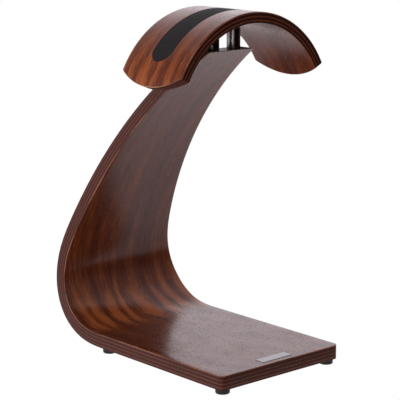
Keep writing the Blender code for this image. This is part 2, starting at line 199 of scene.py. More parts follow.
def frame_half_width(run):
    """Half width of the frame: parallel edges, then a cubic taper."""
    half = BASE_WIDTH / 2.0
    tip = NECK_TIP_WIDTH / 2.0
    u = np.linspace(0.0, 1.0, TAPER_SAMPLES)
    weights = ((1 - u) ** 3, 3 * u * (1 - u) ** 2, 3 * u * u * (1 - u), u ** 3)
    runs = (TAPER_START, TAPER_START + TAPER_HANDLE_BASE, FRAME_LENGTH - TAPER_HANDLE_TIP, FRAME_LENGTH)
    halves = (half, half, tip + TAPER_HANDLE_RISE, tip)
    curve_run = sum(w * r for w, r in zip(weights, runs))
    curve_half = sum(w * h for w, h in zip(weights, halves))
    past_tip = np.maximum(run - FRAME_LENGTH, 0.0)
    return np.interp(run, curve_run, curve_half) - past_tip * TAPER_HANDLE_RISE / TAPER_HANDLE_TIP


def frame_point(run, across, below):
    """World place, in millimetres, of points a given way along, across and below the inner face."""
    heading = np.interp(run, RUN, RUN_HEADING)
    depth = np.interp(run, RUN, RUN_DEPTH) + below * np.sin(heading)
    height = np.interp(run, RUN, RUN_HEIGHT) - below * np.cos(heading)
    return np.stack([across, FRONT_Y + depth, UNDERSIDE_Z + height], axis=-1)


def run_at_top(share):
    """Run at which the surface a share of the way through the ply reaches the neck's level top."""
    neck = RUN > BASE_RUN + BEND_LENGTH
    height = UNDERSIDE_Z + RUN_HEIGHT[neck] - share * frame_ply(RUN[neck]) * np.cos(RUN_HEADING[neck])
    return float(np.interp(NECK_TOP_Z, height, RUN[neck]))


# the level cut across the neck's top, spread back along the neck so that the grid stays even
TOP_SHARES = np.linspace(0.0, 1.0, 21)
TOP_RUNS = np.array([run_at_top(share) for share in TOP_SHARES])
SHEAR_LENGTH = 70.0


def bend_frame(points):
    """Bend the flat board (run, across, share of the ply) into the frame, with its end cut level."""
    run, across, share = points.T
    lean = TOP_RUNS[0] - np.interp(share, TOP_SHARES, TOP_RUNS)
    run = run - lean * np.clip((run - TOP_RUNS[0] + SHEAR_LENGTH) / SHEAR_LENGTH, 0.0, 1.0)
    return frame_point(run, across, share * frame_ply(run))


def layer_at(share, ply, layers):
    """Which layer a share of the way through the ply lies in: thin veneers outside, even plies within."""
    skin = VENEER / ply
    places = (0.0, skin, 1.0 - skin, 1.0)
    return np.interp(share, places, (OUTERMOST, 1.0, layers - 1.0, layers - OUTERMOST))


def frame_grain(points):
    """Run, across and layer of points on the frame, found from the nearest place on its path."""
    path = np.stack([FRONT_Y + RUN_DEPTH, UNDERSIDE_Z + RUN_HEIGHT], axis=-1)
    tangent = np.stack([np.cos(RUN_HEADING), np.sin(RUN_HEADING)], axis=-1)
    outward = np.stack([np.sin(RUN_HEADING), -np.cos(RUN_HEADING)], axis=-1)
    grain = np.empty_like(points)
    for start in range(0, len(points), GRAIN_BATCH):
        part = points[start:start + GRAIN_BATCH]
        away = part[:, None, 1:] - path[None]
        near = np.argmin((away ** 2).sum(-1), axis=1)
        offset = part[:, 1:] - path[near]
        run = RUN[near] + (offset * tangent[near]).sum(-1)
        share = (offset * outward[near]).sum(-1) / frame_ply(run)
        layer = layer_at(share, FRAME_PLY, FRAME_LAYERS)
        grain[start:start + GRAIN_BATCH] = np.stack([run, part[:, 0], layer], axis=-1)
    return grain


def bend_saddle(points):
    """Bend the flat board (arc, across, depth below its top) into the saddle's arch."""
    arc, across, below = points.T
    angle = arc / SADDLE_RADIUS
    radius = SADDLE_RADIUS - below
    height = SADDLE_AXIS_Z + radius * np.cos(angle)
    return np.stack([radius * np.sin(angle), SADDLE_CENTRE_Y + across, height], axis=-1)


def saddle_grain(points):
    """Arc, across and layer of points on the saddle."""
    x, y, z = points.T
    arc = np.arctan2(x, z - SADDLE_AXIS_Z) * SADDLE_RADIUS
    share = (SADDLE_RADIUS - np.hypot(x, z - SADDLE_AXIS_Z)) / SADDLE_PLY
    return np.stack([arc, y - SADDLE_CENTRE_Y, layer_at(share, SADDLE_PLY, SADDLE_LAYERS)], axis=-1)


def wing_reach(across):
    """Half length of the saddle: each wing ends in an arc."""
    return SADDLE_HALF_ARC - WING_END_RADIUS + math.sqrt(WING_END_RADIUS ** 2 - across ** 2)


# ---------------------------------------------------------------- mesh building

def arc_points(centre, radius, start, end, count):
    """Points on an arc, for angles in degrees from the first axis."""
    angles = np.radians(np.linspace(start, end, count))
    return np.stack([centre[0] + radius * np.cos(angles), centre[1] + radius * np.sin(angles)], axis=-1)


def resample(line, count):
    """The same line with count points, evenly spaced along it."""
    steps = np.concatenate(([0.0], np.cumsum(np.linalg.norm(np.diff(line, axis=0), axis=1))))
    wanted = np.linspace(0.0, steps[-1], count)
    return np.stack([np.interp(wanted, steps, line[:, i]) for i in range(2)], axis=-1)


def inward_normals(loop):
    """Unit normals of a closed outline, pointing into it."""
    ahead = np.roll(loop, -1, axis=0) - loop
    behind = loop - np.roll(loop, 1, axis=0)
    ahead /= np.linalg.norm(ahead, axis=1, keepdims=True)
    behind /= np.linalg.norm(behind, axis=1, keepdims=True)
    tangent = ahead + behind
    tangent /= np.linalg.norm(tangent, axis=1, keepdims=True)
    following = np.roll(loop, -1, axis=0)
    area = np.sum(loop[:, 0] * following[:, 1] - following[:, 0] * loop[:, 1])
    normal = np.stack([-tangent[:, 1], tangent[:, 0]], axis=-1)
    return normal if area > 0 else -normal


def coons(loop, first, second):
    """A grid that fills an outline made of four sides with first, second, first and second steps."""
    a = loop[:first + 1]
    b = loop[first:first + second + 1]
    c = loop[first + second:2 * first + second + 1][::-1]
    d = np.concatenate((loop[2 * first + second:], loop[:1]))[::-1]
    u = np.linspace(0.0, 1.0, first + 1)[:, None, None]
    v = np.linspace(0.0, 1.0, second + 1)[None, :, None]
    sides = (1 - v) * a[:, None] + v * c[:, None] + (1 - u) * d[None] + u * b[None]
    corners = (1 - u) * (1 - v) * a[0] + u * (1 - v) * a[-1] + (1 - u) * v * c[0] + u * v * c[-1]
    return sides - corners


def rim_profile(rounding, thickness, rows, steps=6):
    """(inset, depth) down a board's edge: a quarter round, a straight side, and a quarter round."""
    angles = np.linspace(0.0, math.pi / 2.0, steps + 1)
    top = [(rounding * (1 - math.sin(a)), rounding * (1 - math.cos(a))) for a in angles]
    bottom = [(inset, thickness - depth) for inset, depth in reversed(top)]
    side = [(0.0, rounding + (thickness - 2.0 * rounding) * i / rows) for i in range(1, rows)]
    return top + side + bottom


def board(name, loop, first, second, profile, bend):
    """A closed board: an outline filled top and bottom by grids, with a moulded rim between them.

    The outline lies in (along, across) and the profile gives (inset, depth). bend maps (along, across,
    depth) to the world. The outline's sides have first, second, first and second steps.
    """
    normals = inward_normals(loop)
    rings = [loop + inset * normals for inset, _ in profile]
    faces = []
    grids = []
    points = []
    for ring, depth in ((rings[0], profile[0][1]), (rings[-1], profile[-1][1])):
        grid = coons(ring, first, second)
        grids.append(len(points))
        points += [(along, across, depth) for along, across in grid.reshape(-1, 2)]
    width = second + 1
    for start, flip in zip(grids, (False, True)):
        for i in range(first):
            for j in range(second):
                corner = start + i * width + j
                face = (corner, corner + 1, corner + width + 1, corner + width)
                faces.append(face[::-1] if flip else face)
    border = [i * width for i in range(first)] + [first * width + j for j in range(second)]
    border += [(first - i) * width + second for i in range(first)] + [second - j for j in range(second)]
    count = len(loop)
    rows = [[grids[0] + k for k in border]]
    for ring, (_, depth) in zip(rings[1:-1], profile[1:-1]):
        rows.append([len(points) + k for k in range(count)])
        points += [(along, across, depth) for along, across in ring]
    rows.append([grids[1] + k for k in border])
    for upper, lower in zip(rows[:-1], rows[1:]):
        for k in range(count):
            following = (k + 1) % count
            faces.append((upper[k], upper[following], lower[following], lower[k]))
    return mesh_object(name, bend(np.array(points)) * MM, faces)


def mesh_object(name, points, faces):
    """A new object from points in metres and faces, closed, with its normals pointing out."""
    mesh = bpy.data.meshes.new(name)
    mesh.from_pydata([tuple(p) for p in points], [], faces)
    solid = bmesh.new()
    solid.from_mesh(mesh)
    bmesh.ops.recalc_face_normals(solid, faces=solid.faces)
    solid.to_mesh(mesh)
    solid.free()
    piece = bpy.data.objects.new(name, mesh)
    bpy.context.scene.collection.objects.link(piece)
    shade(piece)
    return piece


def shade(piece):
    """Smooth shading, with the sharper edges kept crisp."""
    piece.data.shade_smooth()
    piece.data.set_sharp_from_angle(angle=math.radians(SHARP_ANGLE))


def turned(name, profile, x, y, segments):
    """A turned solid from (radius, height) pairs, top of the axis to bottom, standing at x, y."""
    points = []
    rings = []
    for radius, height in profile:
        if radius == 0.0:
            rings.append([len(points)] * segments)
            points.append((x * MM, y * MM, height * MM))
            continue
        rings.append([len(points) + i for i in range(segments)])
        for i in range(segments):
            angle = 2.0 * math.pi * i / segments
            point = (x + radius * math.cos(angle), y + radius * math.sin(angle), height)
            points.append(tuple(value * MM for value in point))
    faces = []
    for upper, lower in zip(rings[:-1], rings[1:]):
        for i in range(segments):
            j = (i + 1) % segments
            face = [upper[i], lower[i], lower[j], upper[j]]
            faces.append(tuple(dict.fromkeys(face)))
    return mesh_object(name, points, faces)


def cut(piece, cutters):
    """Cut the pieces in cutters out of a piece, for good, and remove them."""
    for cutter in cutters:
        modifier = piece.modifiers.new("cut", "BOOLEAN")
        modifier.operation = "DIFFERENCE"
        modifier.solver = "EXACT"
        modifier.object = cutter
    evaluated = piece.evaluated_get(bpy.context.evaluated_depsgraph_get())
    mesh = bpy.data.meshes.new_from_object(evaluated)
    piece.modifiers.clear()
    piece.data = mesh
    mesh.name = piece.name
    for cutter in cutters:
        bpy.data.objects.remove(cutter)
    shade(piece)


def write_grain(piece, grain_of):
    """Store each point's place in the wood, (along, across) in metres and its layer, for the materials."""
    points = np.empty(len(piece.data.vertices) * 3)
    piece.data.vertices.foreach_get("co", points)
    grain = grain_of(points.reshape(-1, 3) / MM)
    grain[:, :2] *= MM
    attribute = piece.data.attributes.new("grain", "FLOAT_VECTOR", "POINT")
    attribute.data.foreach_set("vector", grain.astype(np.float32).ravel())


def mark_edges(piece, layers):
    """Give the second material to the faces that cut through layers or lie within the ply."""
    layer = [point.vector[2] for point in piece.data.attributes["grain"].data]
    for face in piece.data.polygons:
        held = [layer[vertex] for vertex in face.vertices]
        cuts_through = max(held) - min(held) > LEVEL_WITHIN
        face.material_index = int(cuts_through or SKIN_WITHIN < held[0] < layers - SKIN_WITHIN)


# ---------------------------------------------------------------- material building

class Material:
    """A Principled material whose nodes are added by short calls, each giving back an output socket."""

    def __init__(self, name, **constants):
        self.material = bpy.data.materials.new(name)
        self.material.use_nodes = True
        self.tree = self.material.node_tree
        self.shader = self.tree.nodes["Principled BSDF"]
        for socket, value in constants.items():
            self.shader.inputs[socket.replace("_", " ")].default_value = value

    def node(self, kind, inputs=(), **settings):
        made = self.tree.nodes.new("ShaderNode" + kind)
        for name, value in settings.items():
            setattr(made, name, value)
        for socket, value in dict(inputs).items():
            self.feed(made.inputs[socket], value)
        return made

    def feed(self, socket, value):
        if isinstance(value, bpy.types.NodeSocket):
            self.tree.links.new(value, socket)
        else:
            socket.default_value = value

    def set(self, name, value):
        self.feed(self.shader.inputs[name], value)

    def attribute(self, name):
        return self.node("Attribute", attribute_name=name).outputs["Vector"]

    def place(self):
        return self.node("TexCoord").outputs["Object"]

    def stretched(self, vector, scale):
        return self.node("Mapping", {"Vector": vector, "Scale": scale}).outputs["Vector"]

    def noise(self, vector, scale=1.0, detail=2.0, roughness=0.5):
        inputs = {"Vector": vector, "Scale": scale, "Detail": detail, "Roughness": roughness}
        return self.node("TexNoise", inputs).outputs["Fac"]

    def math(self, operation, a, b=0.0):
        made = self.node("Math", operation=operation)
        self.feed(made.inputs[0], a)
        self.feed(made.inputs[1], b)
        return made.outputs[0]

    def swing(self, value, weight, middle=0.5):
        """How far a value is from its middle, weighted."""
        return self.math("MULTIPLY", self.math("SUBTRACT", value, middle), weight)

    def total(self, first, *others):
        """Sum of two or more values."""
        for value in others:
            first = self.math("ADD", first, value)
        return first

    def parts(self, vector):
        return self.node("SeparateXYZ", {"Vector": vector}).outputs

    def vector(self, x, y, z):
        return self.node("CombineXYZ", {"X": x, "Y": y, "Z": z}).outputs[0]

    def span(self, value, low, high, to_low=0.0, to_high=1.0):
        inputs = {"Value": value, "From Min": low, "From Max": high, "To Min": to_low, "To Max": to_high}
        return self.node("MapRange", inputs, interpolation_type="SMOOTHSTEP").outputs["Result"]

    def ramp(self, value, stops):
        made = self.node("ValToRGB", {"Fac": value})
        elements = made.color_ramp.elements
        for index, (position, colour) in enumerate(stops):
            element = elements[index] if index < 2 else elements.new(position)
            element.position = position
            element.color = (*colour, 1.0)
        return made.outputs["Color"]

    def mix(self, factor, a, b):
        """Colour a where the factor is 0, and b where it is 1."""
        made = self.node("Mix", data_type="RGBA")
        self.feed(made.inputs[0], factor)
        self.feed(made.inputs[6], (*a, 1.0) if isinstance(a, tuple) else a)
        self.feed(made.inputs[7], (*b, 1.0) if isinstance(b, tuple) else b)
        return made.outputs[2]

    def bump(self, height, strength, distance):
        inputs = {"Height": height, "Strength": strength, "Distance": distance}
        self.set("Normal", self.node("Bump", inputs).outputs["Normal"])


# veneer, from light to dark, and what shows on the edges
LIGHT_RIBBON = (0.235, 0.064, 0.0145)
MID_RIBBON = (0.100, 0.0225, 0.0068)
DARK_RIBBON = (0.038, 0.0082, 0.0032)
RIBBON_TONES = [(0.25, DARK_RIBBON), (0.80, LIGHT_RIBBON), (0.50, MID_RIBBON)]
PALE_PLY = (0.135, 0.044, 0.025)
PALE_SADDLE_PLY = (0.230, 0.072, 0.036)
DARK_PLY = (0.040, 0.0098, 0.0056)
VENEER_EDGE = (0.062, 0.0150, 0.0080)
GLUE = (0.014, 0.0050, 0.0035)
# painted highlight: the pale colour of the top arris, standing in for the rounded edge catching the light
ARRIS_HIGHLIGHT = (0.380, 0.175, 0.100)

# how many times per metre each texture of the wood repeats, along and across the grain, and per layer
FIBRE = (90.0, 1100.0, 1.0)
PORES = (260.0, 1500.0, 1.0)
WANDER = (9.0, 34.0, 1.0)
FRINGE = (45.0, 110.0, 1.0)
FLECKS = (110.0, 650.0, 1.0)
BROAD_STREAKS = (5.0, 60.0, 1.0)
FINE_STREAKS = (22.0, 420.0, 1.0)
EDGE_STREAKS = (60.0, 60.0, 3.0)
# patches of the painted arris highlight, not a texture of the wood
ARRIS_HIGHLIGHT_PATCHES = (30.0, 30.0, 1.0)
UNEVENNESS = (35.0, 60.0, 1.0)
PLY_OFFSET = 3.7

# how far the ribbons wander and fray, in metres, and how much each texture adds to the tone
WANDER_REACH = 0.030
FRINGE_REACH = 0.007
RIBBON_WEIGHT = -0.25
FLECK_WEIGHT = 0.50
# painted light: a lift to a lighter tone, scaled by the figure share
PAINTED_LIGHT_LIFT = 0.26
BROAD_WEIGHT = 0.55
FINE_WEIGHT = 0.50
FIBRE_WEIGHT = 0.72
# share of the ribbons and of the painted lift on the outer and under faces: a painted shade there
FIGURE_AND_LIGHT_UNDERNEATH = 0.3

# ribbons: their period and the place of a dark one, in metres. Figure and painted light: (share of the
# frame's length along the grain, share of the ribbons and of the painted lift that shows) pairs, counted from
# the base's front edge or the saddle's middle.
# The share is raised in the frame's bend and towards the saddle's wings, where the light falls, so it paints
# light there.
FRAME_RIBBONS = (0.0152, 0.003)
SADDLE_RIBBONS = (0.0132, 0.001)
FRAME_FIGURE_AND_LIGHT = [(0.0, 0.0), (1.0, 0.3), (0.31, 0.0), (0.355, 1.0), (0.40, 0.85), (0.46, 0.12)]
SADDLE_FIGURE_AND_LIGHT = [(0.08, 0.08), (0.20, 0.58)]
FRAME_SEED = 0.0
SADDLE_SEED = 1.7


class Plywood(Material):
    """Ribbon-striped veneer on the faces and the stacked layers on the edges, under satin lacquer."""

    def __init__(self, name, seed, **constants):
        super().__init__(name, **constants)
        self.stored = self.attribute("grain")
        self.run, self.across, self.layer = self.parts(self.stored)
        ply = self.math("FLOOR", self.layer)
        run = self.math("ADD", self.run, seed)
        self.grain = self.vector(run, self.across, self.math("MULTIPLY", ply, PLY_OFFSET))
        self.fibre = self.noise(self.stretched(self.grain, FIBRE), detail=3.0, roughness=0.65)
        cells = self.node("TexVoronoi", {"Vector": self.stretched(self.grain, PORES), "Scale": 1.0})
        depth = self.parts(cells.outputs["Color"])[0]
        self.pores = self.math("MULTIPLY", self.span(cells.outputs["Distance"], 0.15, 0.40, 1.0, 0.0), depth)

    def ribbons_and_painted_light(self, ribbons, figure_and_light):
        """Broad wavy ribbons with flecks and a painted lighter lift, shown by a share along the run that is
        raised where the light falls; less of both underneath, a painted shade.
        """
        period, dark_at = ribbons
        wander = self.swing(self.noise(self.stretched(self.grain, WANDER), detail=1.0), WANDER_REACH)
        fringe = self.swing(self.noise(self.stretched(self.grain, FRINGE)), FRINGE_REACH)
        place = self.total(wander, fringe, self.across)
        turns = self.math("DIVIDE", self.math("SUBTRACT", place, dark_at), period)
        wave = self.math("COSINE", self.math("MULTIPLY", turns, 2.0 * math.pi))
        fleck = self.noise(self.stretched(self.grain, FLECKS), detail=3.0, roughness=0.65)
        ribbon = self.math("MULTIPLY", wave, RIBBON_WEIGHT)
        # the ribbons and flecks are the veneer's own figure; the lift added to them is painted light
        figure = self.total(ribbon, self.swing(fleck, FLECK_WEIGHT), PAINTED_LIGHT_LIFT)
        # painted light: the share along the run, highest in the frame's bend and towards the saddle's wings,
        # where the light falls
        along = self.math("DIVIDE", self.math("ABSOLUTE", self.run), FRAME_LENGTH * MM)
        share = self.ramp(along, [(at, (value,) * 3) for at, value in figure_and_light])
        on_top = self.math("LESS_THAN", self.layer, 1.0)
        share = self.math("MULTIPLY", share, self.span(on_top, 0.0, 1.0, FIGURE_AND_LIGHT_UNDERNEATH, 1.0))
        return self.math("MULTIPLY", figure, share)

    def face_colour(self, ribbons, figure_and_light):
        """Veneer: the ribbon figure with its painted light, over broad and fine streaks and fibres, with dark
        pores.
        """
        broad = self.noise(self.stretched(self.grain, BROAD_STREAKS), detail=3.0, roughness=0.55)
        fine = self.noise(self.stretched(self.grain, FINE_STREAKS), detail=3.0, roughness=0.6)
        tone = self.total(
            self.ribbons_and_painted_light(ribbons, figure_and_light),
            self.math("MULTIPLY", broad, BROAD_WEIGHT),
            self.swing(fine, FINE_WEIGHT, 0.2),
            self.swing(self.fibre, FIBRE_WEIGHT),
        )
        return self.mix(self.math("MULTIPLY", self.pores, 0.7), self.ramp(tone, RIBBON_TONES), DARK_RIBBON)

    def edge_colour(self, pale_ply):
        """Dark plies with a pale one in the middle of each pair, streaked along, and dark glue lines."""
        streak = self.noise(self.stretched(self.stored, EDGE_STREAKS), detail=4.0, roughness=0.65)
        between = self.math("PINGPONG", self.layer, 1.0)
        edge = self.mix(self.span(between, 0.55, 1.0), DARK_PLY, pale_ply)
        edge = self.mix(self.span(streak, 0.35, 0.75, 0.0, 0.7), edge, DARK_PLY)
        edge = self.mix(self.span(between, 0.02, 0.25, 0.7, 0.0), edge, GLUE)
        return self.mix(self.math("GREATER_THAN", self.layer, 1.0), VENEER_EDGE, edge)

    def painted_arris_highlight(self, colour):
        """The same colour with a painted highlight: paler in patches along the top arris, where the veneer
        ends.
        """
        highlight_patches = self.noise(self.stretched(self.stored, ARRIS_HIGHLIGHT_PATCHES), detail=4.0, roughness=0.6)
        arris = self.span(self.layer, 0.5, 1.1, 1.0, 0.0)
        highlighted = self.math("MULTIPLY", arris, self.span(highlight_patches, 0.42, 0.62, 0.0, 0.85))
        return self.mix(highlighted, colour, ARRIS_HIGHLIGHT)

    def lacquer(self, low, high):
        """Satin lacquer of uneven roughness, duller in the pores, that follows the grain's relief."""
        uneven = self.noise(self.stretched(self.stored, UNEVENNESS), detail=3.0)
        roughness = self.span(uneven, 0.3, 0.7, low, high)
        self.set("Roughness", self.math("ADD", roughness, self.math("MULTIPLY", self.pores, 0.35)))
        relief = self.math("SUBTRACT", self.math("MULTIPLY", self.fibre, 0.5), self.pores)
        self.bump(relief, 0.35, 0.0001)


def make_plywood(name, seed, ribbons, figure_and_light, pale_ply):
    """Materials for the faces and for the edges of a moulded plywood board."""
    faces = Plywood(name + "_faces", seed, IOR=1.38)
    faces.set("Base Color", faces.face_colour(ribbons, figure_and_light))
    faces.lacquer(0.20, 0.28)
    edges = Plywood(name + "_edges", seed, IOR=1.25)
    # the edges carry a painted highlight along the top arris
    edges.set("Base Color", edges.painted_arris_highlight(edges.edge_colour(pale_ply)))
    edges.lacquer(0.34, 0.44)
    return faces.material, edges.material


def make_pad_rubber():
    """Matt black rubber with a fine leather-like grain."""
    rubber = Material("black_pad_rubber", IOR=1.20)
    place = rubber.place()
    grain = rubber.noise(place, 2600.0)
    cloud = rubber.noise(place, 60.0, 3.0)
    blacks = [(0.3, (0.0085, 0.0082, 0.0082)), (0.7, (0.014, 0.0135, 0.0135))]
    rubber.set("Base Color", rubber.ramp(cloud, blacks))
    rubber.set("Roughness", rubber.span(cloud, 0.3, 0.7, 0.62, 0.74))
    rubber.bump(grain, 0.35, 0.0002)
    return rubber.material


# height of the paler band at the bottom of the feet
PALE_BAND_HEIGHT = 0.0015


def make_foot_rubber():
    """Satin black moulded rubber, paler in a thin band at the bottom."""
    rubber = Material("black_foot_rubber", IOR=1.32)
    place = rubber.place()
    mould = rubber.noise(place, 900.0)
    pale_band = rubber.span(rubber.parts(place)[2], 0.0, PALE_BAND_HEIGHT, 1.0, 0.0)
    rubber.set("Base Color", rubber.mix(pale_band, (0.009, 0.009, 0.0095), (0.018, 0.018, 0.018)))
    rubber.set("Roughness", rubber.span(mould, 0.3, 0.7, 0.38, 0.5))
    rubber.bump(mould, 0.2, 0.0001)
    return rubber.material


def make_black_nickel():
    """Polished black nickel with faint turning lines round it."""
    nickel = Material("black_nickel", Metallic=1.0)
    place = nickel.place()
    lines = nickel.noise(nickel.stretched(place, (60.0, 60.0, 9000.0)))
    cloud = nickel.noise(place, 180.0)
    nickel.set("Base Color", nickel.ramp(cloud, [(0.3, (0.27, 0.25, 0.24)), (0.7, (0.35, 0.33, 0.32))]))
    nickel.set("Roughness", nickel.span(lines, 0.3, 0.7, 0.22, 0.32))
    nickel.bump(lines, 0.06, 0.00002)
    return nickel.material


def make_badge_metal():
    """Satin aluminium, brushed across."""
    metal = Material("satin_aluminium", Metallic=1.0)
    place = metal.place()
    brushed = metal.noise(metal.stretched(place, (220.0, 7000.0, 400.0)), detail=3.0)
    cloud = metal.noise(place, 160.0)
    brushed = metal.total(metal.math("MULTIPLY", brushed, 0.5), metal.math("MULTIPLY", cloud, 0.5))
    metal.set("Base Color", metal.ramp(brushed, [(0.3, (0.17, 0.178, 0.182)), (0.7, (0.31, 0.322, 0.33))]))
    metal.set("Roughness", metal.span(brushed, 0.3, 0.7, 0.3, 0.45))
    metal.bump(brushed, 0.1, 0.00003)
    return metal.material


def make_zinc_steel():
    """Zinc-plated steel for the hidden screws and studs."""
    steel = Material("zinc_steel", Metallic=1.0)
    spangle = steel.noise(steel.place(), 700.0, 3.0)
    steel.set("Base Color", steel.ramp(spangle, [(0.3, (0.50, 0.51, 0.53)), (0.7, (0.63, 0.63, 0.62))]))
    steel.set("Roughness", steel.span(spangle, 0.3, 0.7, 0.28, 0.42))
    steel.bump(spangle, 0.1, 0.00005)
    return steel.material


def make_adhesive():
    """Milky adhesive film with small bubbles."""
    film = Material("adhesive_film", IOR=1.45)
    bubbles = film.noise(film.place(), 1500.0)
    film.set("Base Color", film.ramp(bubbles, [(0.35, (0.70, 0.67, 0.60)), (0.65, (0.84, 0.82, 0.76))]))
    film.set("Roughness", film.span(bubbles, 0.3, 0.7, 0.45, 0.6))
    film.bump(bubbles, 0.2, 0.00005)
    return film.material


# ---------------------------------------------------------------- pieces

def finish_piece(piece, material, node):
    """Give a piece its material or materials, and let it stand for its node on the part's one body."""
    piece.data.materials.clear()
    for each in (material if isinstance(material, tuple) else (material,)):
        piece.data.materials.append(each)
    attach(piece, "root")
    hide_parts(node)


def frame_outline():
    """The frame unrolled, in (run, across): front edge, right side, tip and left side."""
    end = TOP_RUNS[0]
    corner = BASE_CORNER_RADIUS
    tip = TIP_CORNER_RADIUS
    front_half = BASE_WIDTH / 2.0 - corner
    tip_half = float(frame_half_width(end - tip)) - tip
    front = np.linspace((0.0, -front_half), (0.0, front_half), FRAME_STEPS_ACROSS + 1)
    round_front = arc_points((corner, front_half), corner, 180.0, 90.0, BASE_CORNER_STEPS + 1)
    side_steps = FRAME_STEPS_ALONG - BASE_CORNER_STEPS - TIP_CORNER_STEPS
    runs = np.linspace(corner, end - tip, side_steps + 1)[1:-1]
    side = np.stack([runs, frame_half_width(runs)], axis=-1)
    round_tip = arc_points((end - tip, tip_half), tip, 90.0, 0.0, TIP_CORNER_STEPS + 1)
    right = np.concatenate((round_front, side, round_tip))
    top = np.linspace((end, tip_half), (end, -tip_half), FRAME_STEPS_ACROSS + 1)
    left = right[::-1] * (1.0, -1.0)
    return np.concatenate((front[:-1], right[:-1], top[:-1], left[:-1]))


def rounded_corners(width, depth, corner, steps):
    """The four quarter rounds of a rectangle about the origin, starting at its left front."""
    x = width / 2.0 - corner
    y = depth / 2.0 - corner
    centres = ((-x, -y), (x, -y), (x, y), (-x, y))
    return [arc_points(centre, corner, 180.0 + 90.0 * i, 270.0 + 90.0 * i, steps + 1)
            for i, centre in enumerate(centres)]


def badge_cutter():
    """The badge's shallow recess in the top of the base."""
    width = BADGE_HIGH.x - BADGE_LOW.x + 2.0 * GAP
    depth = BADGE_HIGH.y - BADGE_LOW.y + 2.0 * GAP
    loop = np.concatenate(rounded_corners(width, depth, BADGE_CORNER + GAP, 4))
    centre = node_centre("badge")
    top = UNDERSIDE_Z + FRAME_PLY
    count = len(loop)
    levels = (top - BADGE_RECESS, top + CUTTER_SHORT_OVERSHOOT)
    points = [((centre.x + x) * MM, (centre.y + y) * MM, z * MM) for z in levels for x, y in loop]
    faces = [tuple(range(count)), tuple(range(2 * count - 1, count - 1, -1))]
    faces += [(k, (k + 1) % count, count + (k + 1) % count, count + k) for k in range(count)]
    return mesh_object("cutter", points, faces)


def drill(node, profile, segments):
    """A turned cutter on the axis of a node, from (radius, height) pairs."""
    centre = node_centre(node)
    return turned("cutter", profile, centre.x, centre.y, segments)


def disc(radius, high, low):
    """Profile of a plain cylinder."""
    return [(0.0, high), (radius, high), (radius, low), (0.0, low)]


def node_centre(node):
    """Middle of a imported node's box, in millimetres."""
    low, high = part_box(node)
    return (low + high) / 2.0 / MM


def make_frame(materials):
    """The base, bend and neck, with the recesses of the feet and the badge and the holes of the studs."""
    rim = rim_profile(EDGE_ROUNDING, FRAME_PLY, FRAME_STEPS_DOWN)
    profile = [(inset, depth / FRAME_PLY) for inset, depth in rim]
    steps = (FRAME_STEPS_ACROSS, FRAME_STEPS_ALONG)
    piece = board("plywood_frame", frame_outline(), *steps, profile, bend_frame)
    recess = disc(FOOT_DIAMETER / 2.0 + GAP, UNDERSIDE_Z + FOOT_RECESS, UNDERSIDE_Z - FOOT_RECESS)
    cutters = [drill("foot_" + end + "_" + side, recess, 48) for end in ENDS for side in SIDES]
    stud_end = NECK_TOP_Z - STUD_DEPTH_IN_NECK - GAP
    hole = disc(THREAD_DIAMETER / 2.0 + GAP, NECK_TOP_Z + CUTTER_OVERSHOOT, stud_end)
    cutters += [drill("post_" + side, hole, 32) for side in SIDES]
    cutters.append(badge_cutter())
    cut(piece, cutters)
    write_grain(piece, frame_grain)
    finish_piece(piece, materials, "frame")
    mark_edges(piece, FRAME_LAYERS)


def saddle_outline():
    """The saddle unrolled, in (arc, across): front edge, right wing end, rear edge and left wing end."""
    half = SADDLE_DEPTH / 2.0
    wing = np.array([(wing_reach(across), across) for across in np.linspace(-half, half, OUTLINE_POINTS)])
    edge = np.linspace((-wing_reach(half), -half), (wing_reach(half), -half), OUTLINE_POINTS)
    sides = [edge, wing, edge[::-1] * (1.0, -1.0), wing[::-1] * (-1.0, 1.0)]
    sides = round_polygon(sides, WING_CORNER_RADIUS)
    counts = (SADDLE_STEPS_ALONG, SADDLE_STEPS_ACROSS) * 2
    return np.concatenate([resample(side, count + 1)[:-1] for side, count in zip(sides, counts)])


def round_polygon(sides, fillet):
    """Four sides of an outline with a small fillet at each corner, shared between its two sides."""
    rounded = []
    for index, side in enumerate(sides):
        start = corner_fillet(sides[index - 1], side, fillet)
        end = corner_fillet(side, sides[(index + 1) % 4], fillet)
        from_start = np.linalg.norm(side - side[0], axis=1)
        from_end = np.linalg.norm(side - side[-1], axis=1)
        middle = side[(from_start > fillet) & (from_end > fillet)]
        rounded.append(np.concatenate((start[len(start) // 2:], middle, end[:len(end) // 2 + 1])))
    return rounded


def corner_fillet(incoming, outgoing, reach):
    """A smooth turn, reach long on each side of the corner where two lines meet."""
    corner = outgoing[0]
    into = incoming[-2] - corner
    out = outgoing[1] - corner
    start = corner + into / np.linalg.norm(into) * reach
    end = corner + out / np.linalg.norm(out) * reach
    t = np.linspace(0.0, 1.0, 9)[:, None]
    return (1 - t) ** 2 * start + 2 * t * (1 - t) * corner + t ** 2 * end


